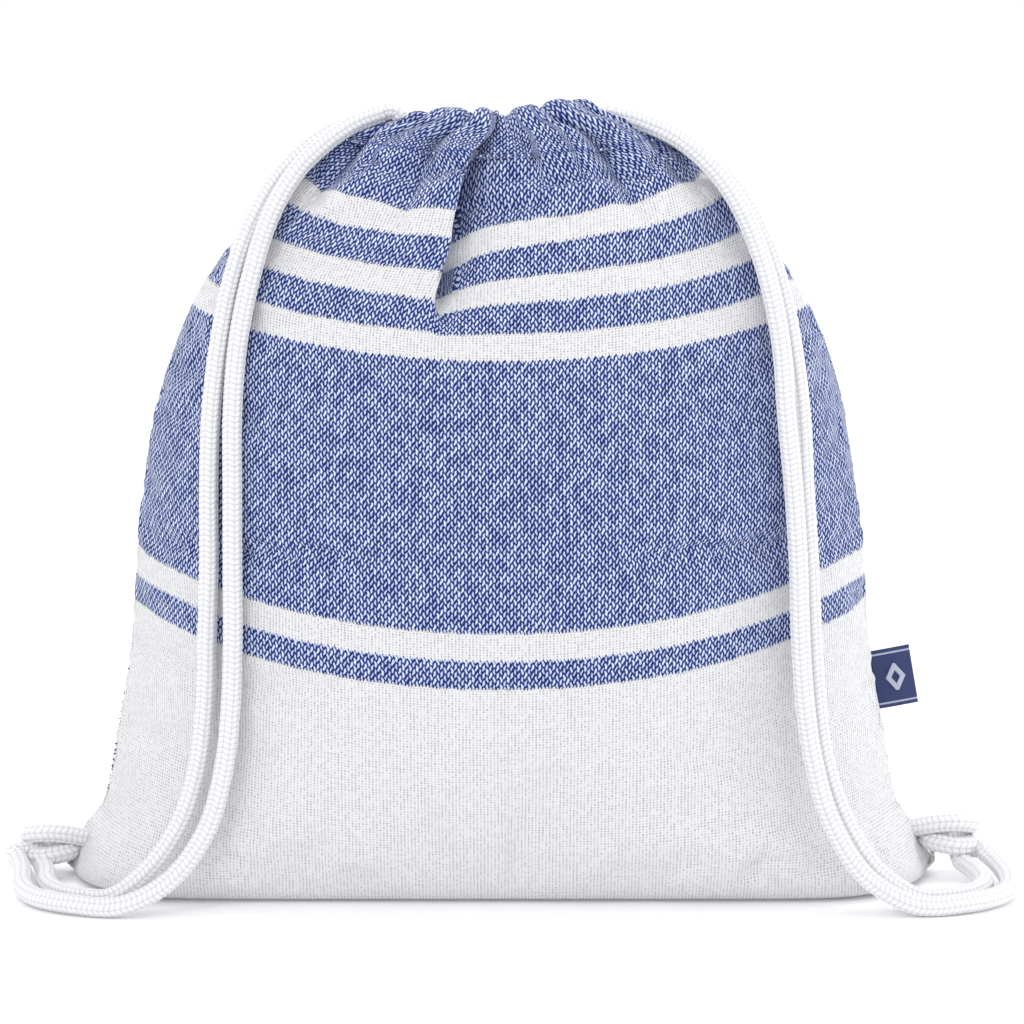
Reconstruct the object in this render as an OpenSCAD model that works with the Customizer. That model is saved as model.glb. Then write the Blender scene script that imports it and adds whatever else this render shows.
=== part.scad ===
// Drawstring backpack: a filled cotton bag whose mouth is gathered by two drawcords.
// Each drawcord runs once round the mouth inside the casings, leaves at one side, and comes
// down as a doubled shoulder strap to a knot at the bottom corner of that side.
// +Z is up, -Y is the front, and the origin is the middle of the base, on the floor.

/* [Bag] */
// Height of the filled bag, to the top of the gathered rim
bag_height = 330; // [320:1:340]
// Width of the body halfway up
body_width = 302; // [290:1:310]
// Depth of the body at its fullest
body_depth = 144; // [136:1:150]
// Distance between the tips of the bottom corners
corner_span = 366; // [360:1:372]
// Thickness of the cloth, with its hems and folds
cloth = 1.6; // [1:0.1:2.5]

/* [Casing] */
// Height of the tunnel sewn along the mouth
casing_height = 26; // [22:1:28]
// Thickness of the gathered tunnel, front to back
casing_depth = 11; // [10.5:0.1:12]
// Half of the width between the casing ends
mouth_half_width = 36; // [34:1:38]
// Half of the gap between the middles of the two casings
mouth_half_depth = 19; // [18:1:22]
// Half of the gap between the casings at their ends
mouth_end_gap = 7; // [6:0.5:8]

/* [Cords] */
// Diameter of the braided drawcord
cord_d = 8; // [6:0.5:8]
// Radius of each of the two lumps of a corner knot
knot_r = 7.2; // [6:0.1:7.4]

/* [Label] */
// Length of the woven label along the seam
label_length = 25; // [18:1:30]
// How far the label stands out of the seam
label_reach = 16; // [10:1:17]
// Thickness of the folded label
label_thickness = 1; // [0.8:0.1:1.4]

/* [Hidden] */
$fn = 48;

half_width = body_width / 2;
half_depth = body_depth / 2;
tip = corner_span / 2;
seam_gap = 0.2;
casing_z = bag_height - casing_height / 2;
shoulder_z = bag_height - casing_height - 0.5;

// Stations up one panel, from the bottom seam to the casing:
// [height, half width, half depth, lift of the corner, squareness, fullness].
// A section is depth * (1 - (x / width) ^ squareness) ^ fullness.
stations = [
    [0, tip - 1, 0, 6, 4, 1],
    [0, tip, 26, 7, 4, 1],
    [0, tip, 48, 8, 4, 1],
    [6, tip - 1, 58, 6, 3.8, 0.95],
    [18, tip - 7, 63, 2, 3.5, 0.85],
    [34, tip - 16, 67, 0, 3.2, 0.75],
    [60, half_width + 11, half_depth - 2, 0, 2.9, 0.65],
    [100, half_width + 4, half_depth, 0, 2.6, 0.6],
    [150, half_width, half_depth - 2, 0, 2.4, 0.55],
    [200, half_width - 8, half_depth - 8, 0, 2.2, 0.5],
    [240, half_width - 22, half_depth - 18, 0, 2, 0.5],
    [268, half_width - 40, half_depth - 27, 0, 2, 0.5],
    [shoulder_z - 16, half_width - 59, half_depth - 34, 0, 2, 0.5],
    [shoulder_z - 6, half_width - 76, half_depth - 40, 0, 2, 0.5],
    [shoulder_z - 1.5, half_width - 93, half_depth - 45, 0, 2, 0.5],
    [shoulder_z, mouth_half_width + 6, mouth_half_depth + 4, 0, 2, 0.5]
];
panel_columns = 28;
rows_per_station = 2;
ear_height = 30;

// Seam allowances, turned inside the bag
seam_thickness = 1.2;
seam_inset = 6;
seam_width = 8;

// The casings are arcs through the middle and the ends of the mouth
casing_wall = 1;
arc_rise = mouth_half_depth - mouth_end_gap;
arc_r = (mouth_half_width ^ 2 + arc_rise ^ 2) / (2 * arc_rise);
arc_half_angle = asin(mouth_half_width / arc_r);
arc_centre_y = arc_r - mouth_half_depth;
turn_r = mouth_end_gap / cos(arc_half_angle);
turn_half_angle = 90 - arc_half_angle;
turn_centre_x = mouth_half_width - turn_r * sin(arc_half_angle);
cord_level = cord_d / 2 + 0.5;
held_steps = 10;
turn_steps = 6;

stitch_r = 0.4;
stitch_angle = 1.6;
stitch_pitch = 2.6;
stitch_count = floor(2 * arc_half_angle / stitch_pitch);
stitch_drop = 6;

// Each strap swings about the line from its exit at the mouth to its knot
exit_point = [49, 3, 320];
knot_point = [193.5, -4, 12];
swing_line = exit_point - knot_point;
swing_axis = swing_line / norm(swing_line);
knot_lump_gap = 5;

eyelet_r = 3.8;
eyelet_thread_r = 0.8;

// Where the label leaves the side seam, and its lean outwards at the bottom
label_point = [half_width + 8, 0, 83];
label_lean = 10;

// Routes of the four free strands, from the mouth to the knot
left_front_route = [
    [-48.5, -4.3, 321], [-60, -9, 317], [-72, -14, 309], [-84, -20, 297],
    [-94, -27, 279], [-101, -36, 256], [-106, -43, 230], [-108, -50, 202],
    [-108, -55, 172], [-108, -58.5, 142], [-108, -61, 112], [-109, -63, 84],
    [-112, -66, 58], [-119, -70, 34], [-133, -75, 15], [-153, -78, 4.8],
    [-174, -73, 4.4], [-190, -61, 4.4], [-197.5, -43, 4.6], [-200, -24, 6],
    [-204.5, -12, 10]
];
left_rear_route = [
    [-48.5, 4.5, 320], [-60, 1, 317], [-75, -5, 310], [-90, -12, 296],
    [-101, -21.5, 278], [-109, -31, 255], [-114, -39, 229], [-117, -46, 201],
    [-118, -49.5, 171], [-118, -52.5, 141], [-119, -54.5, 111], [-120, -56.5, 83],
    [-123, -59, 58], [-130, -63, 36], [-142, -66, 18], [-157, -67, 6],
    [-171, -62, 4.4], [-182, -52, 4.4], [-188, -38, 4.6], [-190, -23, 5],
    [-193.5, -12.4, 6.5]
];
right_front_route = [
    [48.5, -4.3, 320], [60, -8, 317], [75, -14, 310], [90, -20, 296],
    [101, -26, 278], [109, -36, 255], [114, -44, 229], [116, -51, 201],
    [119, -53, 171], [121, -56, 141], [122, -58, 111], [124, -60, 84],
    [128, -63, 59], [135, -67, 36], [148, -72, 16], [168, -76, 4.8],
    [190, -71, 4.4], [206, -57, 4.4], [211.5, -38, 4.6], [210, -20, 7],
    [204.5, -10, 11]
];
right_rear_route = [
    [48.5, 4.5, 319], [60, 1, 316], [76, -5, 309], [92, -11, 296],
    [104, -18.5, 279], [113, -27, 257], [119, -35.5, 230], [122.5, -42.5, 201],
    [124, -46, 172], [126, -48.5, 142], [127.5, -50.5, 112], [129.5, -52.5, 84],
    [133, -55.5, 59], [141, -60, 36], [153, -64.5, 17], [169, -66.5, 6],
    [184, -62, 4.4], [196, -51, 4.4], [201.5, -36, 4.6], [200, -22, 5],
    [195.5, -13, 7]
];
tube_sides = 10;

cloth_blue = "#2f56ad";
cloth_white = "#f2f1ee";
cord_white = "#fbfaf7";
label_navy = "#1d2b5c";

// ---- Functions ----

// Catmull-Rom point between b and c, t from 0 to 1
function blend_point(a, b, c, d, t) =
    0.5 * (2 * b + (c - a) * t + (2 * a - 5 * b + 4 * c - d) * t ^ 2 + (3 * b - 3 * c + d - a) * t ^ 3);

// The list made finer, with count steps for each of its spans
function finer(list, count) =
    let (last = len(list) - 1)
    [
        for (i = [0:last - 1], s = [0:count - 1])
            blend_point(list[max(i - 1, 0)], list[i], list[i + 1], list[min(i + 2, last)], s / count),
        list[last]
    ];

// Point of the front panel's outer face, u from -1 at the left seam to 1 at the right
function panel_point(u, row) =
    let (side = sin(90 * u), across = abs(side), depth = max(0, 1 - across ^ row[4]) ^ row[5])
    [row[1] * side, -max(seam_gap, row[2] * depth), max(0, row[0] + row[3] * across ^ 8)];

function unit(v) = v / norm(v);

// Outward normal of a grid at one point
function grid_normal(grid, j, i) =
    let (
        rows = len(grid) - 1,
        columns = len(grid[0]) - 1,
        along = grid[j][min(i + 1, columns)] - grid[j][max(i - 1, 0)],
        up = grid[min(j + 1, rows)][i] - grid[max(j - 1, 0)][i]
    )
    unit(cross(along, up));

// A point at the side seam moved inwards, and up where the corner lies on the floor
function inside_seam(p) =
    p + [-sign(p[0]) * 1.5 * cloth, 0, cloth * max(0, 1 - p[2] / ear_height)];

// The same grid moved inwards by the cloth, kept on its own side of the seam
function inner_grid(grid) = [
    for (j = [0:len(grid) - 1]) [
        for (i = [0:len(grid[0]) - 1])
            let (
                at_seam = i == 0 || i == len(grid[0]) - 1,
                p = at_seam ? inside_seam(grid[j][i]) : grid[j][i] - cloth * grid_normal(grid, j, i)
            )
            [p[0], min(p[1], -seam_gap), p[2]]
    ]
];

// Half width of the bag at the side seam, at one height
function seam_x(z) = lookup(z, [for (s = stations) if (s[0] > 0) [s[0] + s[3], s[1]]]);

// Side directions carried along a route without twist
function carried(tangents, i, side) =
    let (t = tangents[i], turned = unit(side - (side * t) * t))
    i == len(tangents) - 1 ? [turned] : concat([turned], carried(tangents, i + 1, turned));

// ---- Shared shapes ----

// A closed sheet between two grids of the same size
module grid_shell(outer, inner) {
    rows = len(outer) - 1;
    columns = len(outer[0]) - 1;
    width = columns + 1;
    back = width * (rows + 1);
    points = concat([for (line = outer, p = line) p], [for (line = inner, p = line) p]);
    face_cells = [
        for (j = [0:rows - 1], i = [0:columns - 1])
            let (a = j * width + i)
            each [
                [a, a + width, a + 1], [a + 1, a + width, a + width + 1],
                [back + a, back + a + 1, back + a + width],
                [back + a + 1, back + a + width + 1, back + a + width]
            ]
    ];
    rims = [
        for (i = [0:columns - 1])
            let (low = i, high = rows * width + i)
            each [
                [low, low + 1, back + low], [low + 1, back + low + 1, back + low],
                [high, back + high, high + 1], [high + 1, back + high, back + high + 1]
            ]
    ];
    sides = [
        for (j = [0:rows - 1])
            let (near = j * width, far = j * width + columns)
            each [
                [near, back + near, near + width], [near + width, back + near, back + near + width],
                [far, far + width, back + far], [far + width, back + far + width, back + far]
            ]
    ];
    polyhedron(points, concat(face_cells, rims, sides), convexity = 10);
}

// One cloth panel, drawn as the front one
module panel() {
    rows = finer(stations, rows_per_station);
    outer = [
        for (row = rows)
            [for (i = [0:panel_columns]) panel_point(2 * i / panel_columns - 1, row)]
    ];
    grid_shell(outer, inner_grid(outer));
}

// A round cord swept along a route
module cord_tube(route) {
    last = len(route) - 1;
    tangents = [for (i = [0:last]) unit(route[min(i + 1, last)] - route[max(i - 1, 0)])];
    sides = carried(tangents, 0, [0, 1, 0.1]);
    rings = [
        for (i = [0:last], k = [0:tube_sides - 1])
            let (turn = 360 * k / tube_sides, other = cross(tangents[i], sides[i]))
            route[i] + cord_d / 2 * (cos(turn) * sides[i] + sin(turn) * other)
    ];
    walls = [
        for (i = [0:last - 1], k = [0:tube_sides - 1])
            let (a = i * tube_sides + k, b = i * tube_sides + (k + 1) % tube_sides)
            each [[a, a + tube_sides, b], [b, a + tube_sides, b + tube_sides]]
    ];
    caps = [
        [for (k = [0:tube_sides - 1]) k],
        [for (k = [tube_sides - 1:-1:0]) last * tube_sides + k]
    ];
    polyhedron(rings, concat(walls, caps), convexity = 10);
}

// A rectangle with fully round ends, standing upright
module stadium(width, height) {
    square([width, height - width], center = true);
    for (end = [-1, 1])
        translate([0, end * (height - width) / 2])
            circle(d = width);
}

// Whatever section it is given, swept along the front casing's arc
module along_casing(from = -arc_half_angle, to = arc_half_angle) {
    translate([0, arc_centre_y, 0])
        rotate([0, 0, -90 + from])
            rotate_extrude(angle = to - from)
                children();
}

module casing() {
    along_casing()
        translate([arc_r, casing_z])
            difference() {
                stadium(casing_depth, casing_height);
                stadium(casing_depth - 2 * casing_wall, casing_height - 2 * casing_wall);
            }
}

// Stitches along the casing's lower edge, standing just clear of its face
module casing_stitches() {
    for (i = [0:stitch_count - 1]) {
        start = -arc_half_angle + (i + 0.5) * stitch_pitch;
        along_casing(start, start + stitch_angle)
            translate([arc_r + casing_depth / 2 + stitch_r + 0.1, casing_z - stitch_drop])
                circle(r = stitch_r, $fn = 16);
    }
}

// One drawcord where the casings hold it: front, round the right end, and back
module cord_in_casing(level) {
    z = casing_z + level;
    front = [
        for (i = [0:held_steps])
            let (a = arc_half_angle * (2 * i / held_steps - 1))
            [arc_r * sin(a), arc_centre_y - arc_r * cos(a), z]
    ];
    turn = [
        for (i = [1:turn_steps - 1])
            let (a = turn_half_angle * (2 * i / turn_steps - 1))
            [turn_centre_x + turn_r * cos(a), turn_r * sin(a), z]
    ];
    back = [for (i = [held_steps:-1:0]) [front[i][0], -front[i][1], z]];
    cord_tube(concat(front, turn, back));
}

// Seam allowance of the right side seam, inside the bag
module side_seam() {
    levels = [for (z = [24:12:288]) z];
    outline = concat(
        [for (z = levels) [seam_x(z) - seam_inset, z]],
        [for (i = [len(levels) - 1:-1:0]) [seam_x(levels[i]) - seam_inset - seam_width, levels[i]]]
    );
    rotate([90, 0, 0])
        linear_extrude(seam_thickness, center = true)
            polygon(outline);
}

// Short thread bar across the slit at the right end of the casings
module casing_bartack() {
    for (i = [-2:2])
        translate([mouth_half_width + 2.5 + i, 0, shoulder_z - 3.4])
            rotate([90, 0, 0])
                cylinder(r = stitch_r, h = 6, center = true, $fn = 16);
}

// Thread-bound ring at the right corner, where the cord ends pass through the cloth
module corner_eyelet() {
    translate([tip + eyelet_thread_r + 0.3, 0, 8.5])
        rotate([0, 90, 0])
            rotate_extrude()
                translate([eyelet_r, 0])
                    circle(r = eyelet_thread_r, $fn = 24);
}

// Two lumps stacked along the right strap's swing line, so that the strap can turn round them
module knot() {
    for (end = [-1, 1])
        translate(knot_point + end * knot_lump_gap * swing_axis)
            sphere(r = knot_r);
}

// ---- Parts ----

module front_panel() {
    color(cloth_blue)
        panel();
}

module back_panel() {
    color(cloth_blue)
        mirror([0, 1, 0])
            panel();
}

module left_side_seam() {
    color(cloth_white)
        mirror([1, 0, 0])
            side_seam();
}

module right_side_seam() {
    color(cloth_white)
        side_seam();
}

// Seam allowance along the middle of the base
module bottom_seam() {
    color(cloth_white)
        translate([0, 0, cloth + 0.4 + seam_width / 4])
            cube([2 * (tip - 65), seam_thickness, seam_width / 2], center = true);
}

module front_casing() {
    color(cloth_blue)
        casing();
}

module back_casing() {
    color(cloth_blue)
        mirror([0, 1, 0])
            casing();
}

module front_casing_stitching() {
    color(cloth_white)
        casing_stitches();
}

module back_casing_stitching() {
    color(cloth_white)
        mirror([0, 1, 0])
            casing_stitches();
}

module left_casing_bartack() {
    color(cloth_white)
        mirror([1, 0, 0])
            casing_bartack();
}

module right_casing_bartack() {
    color(cloth_white)
        casing_bartack();
}

module left_corner_eyelet() {
    color(cloth_white)
        mirror([1, 0, 0])
            corner_eyelet();
}

module right_corner_eyelet() {
    color(cloth_white)
        corner_eyelet();
}

// The left cord leaves at the left, so its closed end is at the right
module left_cord_in_casing() {
    color(cord_white)
        cord_in_casing(cord_level);
}

module right_cord_in_casing() {
    color(cord_white)
        mirror([1, 0, 0])
            cord_in_casing(-cord_level);
}

module left_strap_front_strand() {
    color(cord_white)
        cord_tube(left_front_route);
}

module left_strap_rear_strand() {
    color(cord_white)
        cord_tube(left_rear_route);
}

module right_strap_front_strand() {
    color(cord_white)
        cord_tube(right_front_route);
}

module right_strap_rear_strand() {
    color(cord_white)
        cord_tube(right_rear_route);
}

module left_knot() {
    color(cord_white)
        mirror([1, 0, 0])
            knot();
}

module right_knot() {
    color(cord_white)
        knot();
}

// Folded woven tab, caught in the right side seam by its inner edge
module side_label() {
    color(label_navy)
        translate(label_point)
            rotate([0, -label_lean, 0])
                translate([label_reach / 2 + 0.6, 0, 0])
                    cube([label_reach, label_thickness, label_length], center = true);
}

// Plain woven lozenge on the label's front face
module label_emblem() {
    color(cord_white)
        translate(label_point)
            rotate([0, -label_lean, 0])
                translate([label_reach / 2 + 0.6, -label_thickness / 2 - 0.25, 0])
                    rotate([90, 45, 0])
                        difference() {
                            cube([8, 8, 0.3], center = true);
                            cube([5, 5, 1], center = true);
                        }
}

front_panel();
back_panel();
left_side_seam();
right_side_seam();
bottom_seam();
front_casing();
back_casing();
front_casing_stitching();
back_casing_stitching();
left_casing_bartack();
right_casing_bartack();
left_corner_eyelet();
right_corner_eyelet();
left_cord_in_casing();
right_cord_in_casing();
left_strap_front_strand();
left_strap_rear_strand();
right_strap_front_strand();
right_strap_rear_strand();
left_knot();
right_knot();
side_label();
label_emblem();
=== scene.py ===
"""Drawstring backpack: its looks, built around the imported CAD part.

Metres throughout. Z is up, the front faces -Y, and the origin is the middle of the base on the floor.
Cloth is laid out in its own coordinates: u runs across a panel from its centreline, and v runs down it
from the rim of the mouth to the seam under the base.
"""
import math

import bpy
import numpy as np
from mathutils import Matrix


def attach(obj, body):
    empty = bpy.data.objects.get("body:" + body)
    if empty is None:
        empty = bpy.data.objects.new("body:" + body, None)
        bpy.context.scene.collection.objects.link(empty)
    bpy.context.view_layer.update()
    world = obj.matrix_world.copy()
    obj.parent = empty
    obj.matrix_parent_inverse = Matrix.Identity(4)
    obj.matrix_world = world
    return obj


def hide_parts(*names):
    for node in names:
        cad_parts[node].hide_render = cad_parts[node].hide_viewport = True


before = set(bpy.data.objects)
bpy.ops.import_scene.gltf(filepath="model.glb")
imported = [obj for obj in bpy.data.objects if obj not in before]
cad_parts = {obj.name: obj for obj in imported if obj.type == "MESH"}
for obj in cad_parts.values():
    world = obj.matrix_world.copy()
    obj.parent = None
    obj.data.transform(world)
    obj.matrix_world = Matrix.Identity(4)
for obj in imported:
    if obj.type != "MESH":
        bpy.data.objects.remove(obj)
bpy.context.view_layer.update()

MM = 0.001

# ---- Driving dimensions ----

# As in the CAD
TIP = 183 * MM
BAG_HEIGHT = 330 * MM
CORD_RADIUS = 4 * MM
CASING_RADIUS = 5.5 * MM
ARC_RADIUS = 60 * MM
ARC_HALF_ANGLE = math.radians(36.87)
ARC_CENTRE_Y = 41 * MM
CORNER_Z = 8.5 * MM
KNOT_POINT = np.array([193.5, -4, 12]) * MM
LABEL_POINT = np.array([159, 0, 83]) * MM
LABEL_LEAN = math.radians(10)

# The cloth's thickness, which the CAD makes greater
CLOTH_THICKNESS = 0.7 * MM

# Stations up one panel, from the bottom seam to the rim:
# (height, half width, half depth, lift of the corner) in millimetres, then squareness and fullness.
# The bottom corners and the shoulders are fuller than in the CAD.
STATIONS = np.array([
    (0, 182, 0, 3, 14, 1),
    (0, 183, 26, 4, 14, 1),
    (0, 183, 48, 4, 14, 1),
    (6, 182, 58, 3, 11, 0.95),
    (18, 176, 63, 1, 7, 0.85),
    (34, 167, 67, 0, 4.5, 0.75),
    (60, 162, 70, 0, 2.9, 0.65),
    (100, 155, 72, 0, 2.6, 0.6),
    (150, 151, 70, 0, 2.4, 0.55),
    (200, 143, 64, 0, 2.2, 0.5),
    (240, 129, 54, 0, 2, 0.5),
    (268, 111, 45, 0, 2, 0.5),
    (288, 94, 37, 0, 2, 0.5),
    (298, 83, 31, 0, 2, 0.5),
    (306, 75, 28, 0, 2, 0.5),
    (313, 68, 26, 0, 2, 0.5),
    (321, 59, 25, 0, 2, 0.5),
    (330, 46, 24.5, 0, 2, 0.5),
]) * np.array([MM, MM, MM, MM, 1, 1])

# ---- Small helpers ----


def smooth(low, high, x):
    """0 below low, 1 above high, and a smooth turn between them."""
    t = np.clip((np.asarray(x, float) - low) / (high - low), 0, 1)
    return t * t * (3 - 2 * t)


def unit(v):
    """Vectors along the last axis, each made 1 long."""
    return v / np.maximum(np.linalg.norm(v, axis=-1, keepdims=True), 1e-12)


def finer(points, count):
    """A Catmull-Rom curve through the points, count steps to each span."""
    p = np.asarray(points, float)
    ends = np.vstack([p[:1], p, p[-1:]])
    made = []
    for i in range(len(p) - 1):
        a, b, c, d = ends[i:i + 4]
        for t in np.arange(count) / count:
            made.append(0.5 * (2 * b + (c - a) * t + (2 * a - 5 * b + 4 * c - d) * t**2
                               + (3 * b - 3 * c + d - a) * t**3))
    made.append(p[-1])
    return np.array(made)


def evenly(points, step):
    """The same line with its points a step apart."""
    gone = np.concatenate([[0], np.cumsum(np.linalg.norm(np.diff(points, axis=0), axis=1))])
    count = max(2, round(gone[-1] / step))
    at = np.linspace(0, gone[-1], count + 1)
    return np.stack([np.interp(at, gone, points[:, k]) for k in range(3)], axis=1)


# ---- The shape of one panel ----

FINE_ROWS = 24
PROFILE = finer(STATIONS, FINE_ROWS)[::-1]
# How far down the cloth each profile row lies, along the centreline
RIM_TO_PROFILE = 3.1 * MM
PROFILE_V = RIM_TO_PROFILE + np.concatenate(
    [[0], np.cumsum(np.hypot(np.diff(PROFILE[:, 0]), np.diff(PROFILE[:, 2])))])
PANEL_LENGTH = PROFILE_V[-1]
STITCH_V = 29 * MM
HEM_V = -36 * MM


def body_point(a, v):
    """A point of the filled bag's front, with a from -1 to 1 across it and v down it."""
    w, d, z, lift, square, full = (
        np.interp(v, PROFILE_V, PROFILE[:, k]) for k in (1, 2, 0, 3, 4, 5))
    side = np.sin(a * math.pi / 2)
    across = np.abs(side)
    y = -d * np.maximum(0, 1 - across**square) ** full
    return np.stack([w * side, y, np.maximum(0, z + lift * across**8)], axis=-1)


def casing_point(a, v):
    """A point of the casing tube: outside below v = 0, over the rim, and down the inside for v under 0."""
    end = np.clip((np.abs(a) - 0.8) / 0.2, 0, 1)
    outside = smooth(-5 * MM, 5 * MM, v)
    along = np.clip(np.abs(a) / 0.8, 0, 1) * outside + np.abs(a) * (1 - outside)
    arc = ARC_HALF_ANGLE * along
    facing = arc + outside * end * math.radians(75)
    centre_x = ARC_RADIUS * np.sin(arc)
    centre_y = ARC_CENTRE_Y - ARC_RADIUS * np.cos(arc)
    turn = np.clip(v / CASING_RADIUS, -math.pi / 2, math.pi / 2)
    straight = np.maximum(0, np.abs(v) - CASING_RADIUS * math.pi / 2)
    out = CASING_RADIUS * np.sin(turn)
    x = np.sign(a) * (centre_x + out * np.sin(facing))
    y = centre_y - out * np.cos(facing)
    z = BAG_HEIGHT - CASING_RADIUS * (1 - np.cos(turn)) - straight
    return np.stack([x, np.minimum(y, -0.3 * MM), z], axis=-1)


def base_point(a, v):
    """The panel and its casing as one smooth surface, before any fold."""
    share = smooth(4 * MM, 15 * MM, v)[..., None]
    return casing_point(a, v) * (1 - share) + body_point(a, np.maximum(v, RIM_TO_PROFILE)) * share


# ---- Folds ----

# Valleys between the gathers, from the left seam to the right:
# (a at the rim, a lower down, depth in mm, half width in mm, how far down the cloth it fades out, in mm)
FRONT_VALLEYS = [
    (-0.88, -0.85, 2.2, 5, 66),
    (-0.69, -0.63, 9.5, 8, 72),
    (-0.47, -0.45, 1.6, 5, 50),
    (-0.27, -0.25, 6.0, 6, 76),
    (0.07, 0.13, 2.8, 4, 42),
    (0.24, 0.26, 1.4, 5, 46),
    (0.40, 0.395, 6.5, 7, 66),
    (0.55, 0.56, 1.6, 5, 50),
    (0.70, 0.715, 5.0, 7, 84),
    (0.88, 0.86, 2.2, 5, 62),
]
BACK_VALLEYS = [
    (-0.86, -0.84, 2.0, 4, 66),
    (-0.62, -0.60, 3.2, 5, 72),
    (-0.40, -0.42, 1.6, 4, 50),
    (-0.18, -0.16, 3.4, 5, 84),
    (0.03, 0.02, 1.4, 3, 48),
    (0.22, 0.20, 3.0, 4, 70),
    (0.45, 0.46, 1.6, 4, 52),
    (0.66, 0.67, 3.2, 5, 68),
    (0.87, 0.85, 2.0, 4, 60),
]
# The one deep pleat, where the left side laps over the right: (distance down the cloth in mm, a)
FRONT_PLEAT = [(0, -0.05), (10, -0.07), (20, -0.095), (32, -0.13), (60, -0.14), (85, -0.135), (120, -0.12)]
BACK_PLEAT = [(0, 0.32), (20, 0.34), (60, 0.33), (120, 0.31)]
PLEAT_LAP = 8.5 * MM
PLEAT_STEP = 8.5 * MM
PLEAT_CORE = 4.2 * MM
PLEAT_SPREAD = 15 * MM
PLEAT_HOLLOW = 8.5 * MM
PLEAT_DRAG = 11 * MM
PLEAT_REACH = 150 * MM
PLEAT_FADE = (64 * MM, 108 * MM)
# Height of the gathered rim against the casing's own top: (a, mm)
FRONT_RIM = [(-1, -12), (-0.9, -9.5), (-0.75, -8.5), (-0.6, -8), (-0.45, -7.4), (-0.34, -8.2), (-0.27, -11),
             (-0.2, -7.6), (-0.13, -8.6), (-0.09, -11), (-0.03, -7.4), (0.03, -8), (0.065, -10),
             (0.12, -7.4),
             (0.2, -6.4), (0.3, -5.6), (0.4, -6.6), (0.5, -4.6), (0.66, -3.6), (0.8, -3.8),
             (0.92, -6), (1, -14)]
BACK_RIM = [(-1, -13), (-0.86, -12), (-0.74, -11), (-0.62, -13), (-0.5, -10.5), (-0.4, -12), (-0.3, -10),
            (-0.18, -13), (-0.06, -10.5), (0.03, -12), (0.12, -10.5), (0.22, -13), (0.34, -10.5),
            (0.45, -12),
            (0.56, -10.5), (0.66, -13), (0.8, -11.5), (1, -18)]
# Share of the gathered threads that disappear in the valleys; the rest crowd together
THREADS_HIDDEN = 0.55
STRIPE_SHIFT = 20 * MM
STRIPE_SHIFT_LOW = 26 * MM


def stripe_shift(v):
    """How much higher the cloth lies at the sides than in the middle."""
    rise = STRIPE_SHIFT + (STRIPE_SHIFT_LOW - STRIPE_SHIFT) * smooth(120 * MM, 220 * MM, v)
    return rise * smooth(5 * MM, 62 * MM, v) * (1 - smooth(250 * MM, PANEL_LENGTH, v))


def panel_base(a, v, pleat):
    """The smooth surface, with its rows rising towards the sides and falling into the pleat."""
    side = np.sin(a * math.pi / 2)
    return base_point(a, v - stripe_shift(v) * side**2 + pleat_drag(a, v, pleat))


def grid_frames(points):
    """Outward normals of a grid of points, and its unit directions across and down."""
    across = unit(np.gradient(points, axis=1))
    down = unit(np.gradient(points, axis=0))
    return unit(np.cross(down, across)), across, down


def valley_depth(a, v, reach, valleys):
    """How far the cloth dips into its valleys, and swells between them. reach is metres per unit of a."""
    dip = np.zeros_like(a)
    for at_rim, lower, depth, half, fade in valleys:
        middle = at_rim + (lower - at_rim) * smooth(0, 40 * MM, v)
        away = np.abs(a - middle) * reach
        strength = depth * MM * (1 - smooth(0.35 * fade * MM, 1.25 * fade * MM, v))
        strength *= 0.3 + 0.7 * smooth(5 * MM, 16 * MM, np.abs(v))
        strength *= smooth(-34 * MM, -20 * MM, v)
        tight = half * MM * (0.45 + 0.55 * smooth(0, 45 * MM, v))
        dip -= strength * np.exp(-away / tight)
        dip += 0.45 * strength * np.exp(-((away - 1.9 * tight) / (1.2 * tight)) ** 2)
    return dip


def pleat_moves(a, v, reach, path):
    """(sideways, outward) moves of the lapped pleat: an S in section, its left side on top."""
    middle = np.interp(v, [p[0] * MM for p in path], [p[1] for p in path])
    x = (a - middle) * reach
    core = PLEAT_CORE * (0.3 + 0.7 * smooth(0, 50 * MM, v))
    strength = (1 - smooth(*PLEAT_FADE, v)) * smooth(-20 * MM, 8 * MM, v)
    slim = 0.35 + 0.65 * smooth(0, 50 * MM, v)
    lap = -PLEAT_LAP * slim * strength * (x / core) * np.exp(0.5 - 0.5 * (x / core) ** 2)
    step = -PLEAT_STEP * slim * strength * np.tanh(x / core) * np.exp(-np.abs(x) / (PLEAT_SPREAD * slim))
    step -= PLEAT_HOLLOW * slim * strength * np.exp(-((x / core - 1.2) / 1.1) ** 2)
    return lap, step


def pleat_drag(a, v, path):
    """How far the cloth on the right of the pleat is drawn down into it."""
    middle = np.interp(v, [p[0] * MM for p in path], [p[1] for p in path])
    x = (a - middle) * PLEAT_REACH
    strength = smooth(25 * MM, 60 * MM, v) * (1 - smooth(PLEAT_FADE[0], PLEAT_FADE[1] + 10 * MM, v))
    return PLEAT_DRAG * strength * np.exp(-np.abs(x) / PLEAT_SPREAD) * smooth(-3 * MM, 3 * MM, x)


def waves(a, v, seed):
    """Slow, shallow unevenness of soft cloth, in metres."""
    rng = np.random.default_rng(seed)
    total = np.zeros_like(a)
    for _ in range(14):
        fa, fv = rng.uniform(2, 11), rng.uniform(10, 55)
        total += np.sin(fa * a + fv * v + rng.uniform(0, 6.3)) * rng.uniform(0.08, 0.28) * MM
    return total


def corner_drag(a, v):
    """Pulls that run from a bottom corner up across the panel."""
    side = np.abs(a)
    near = smooth(0.45, 0.9, side) * smooth(290 * MM, 340 * MM, v) * (1 - smooth(385 * MM, 396 * MM, v))
    return near * 0.9 * MM * np.sin((v / MM - 150 * side) / 7)


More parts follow.
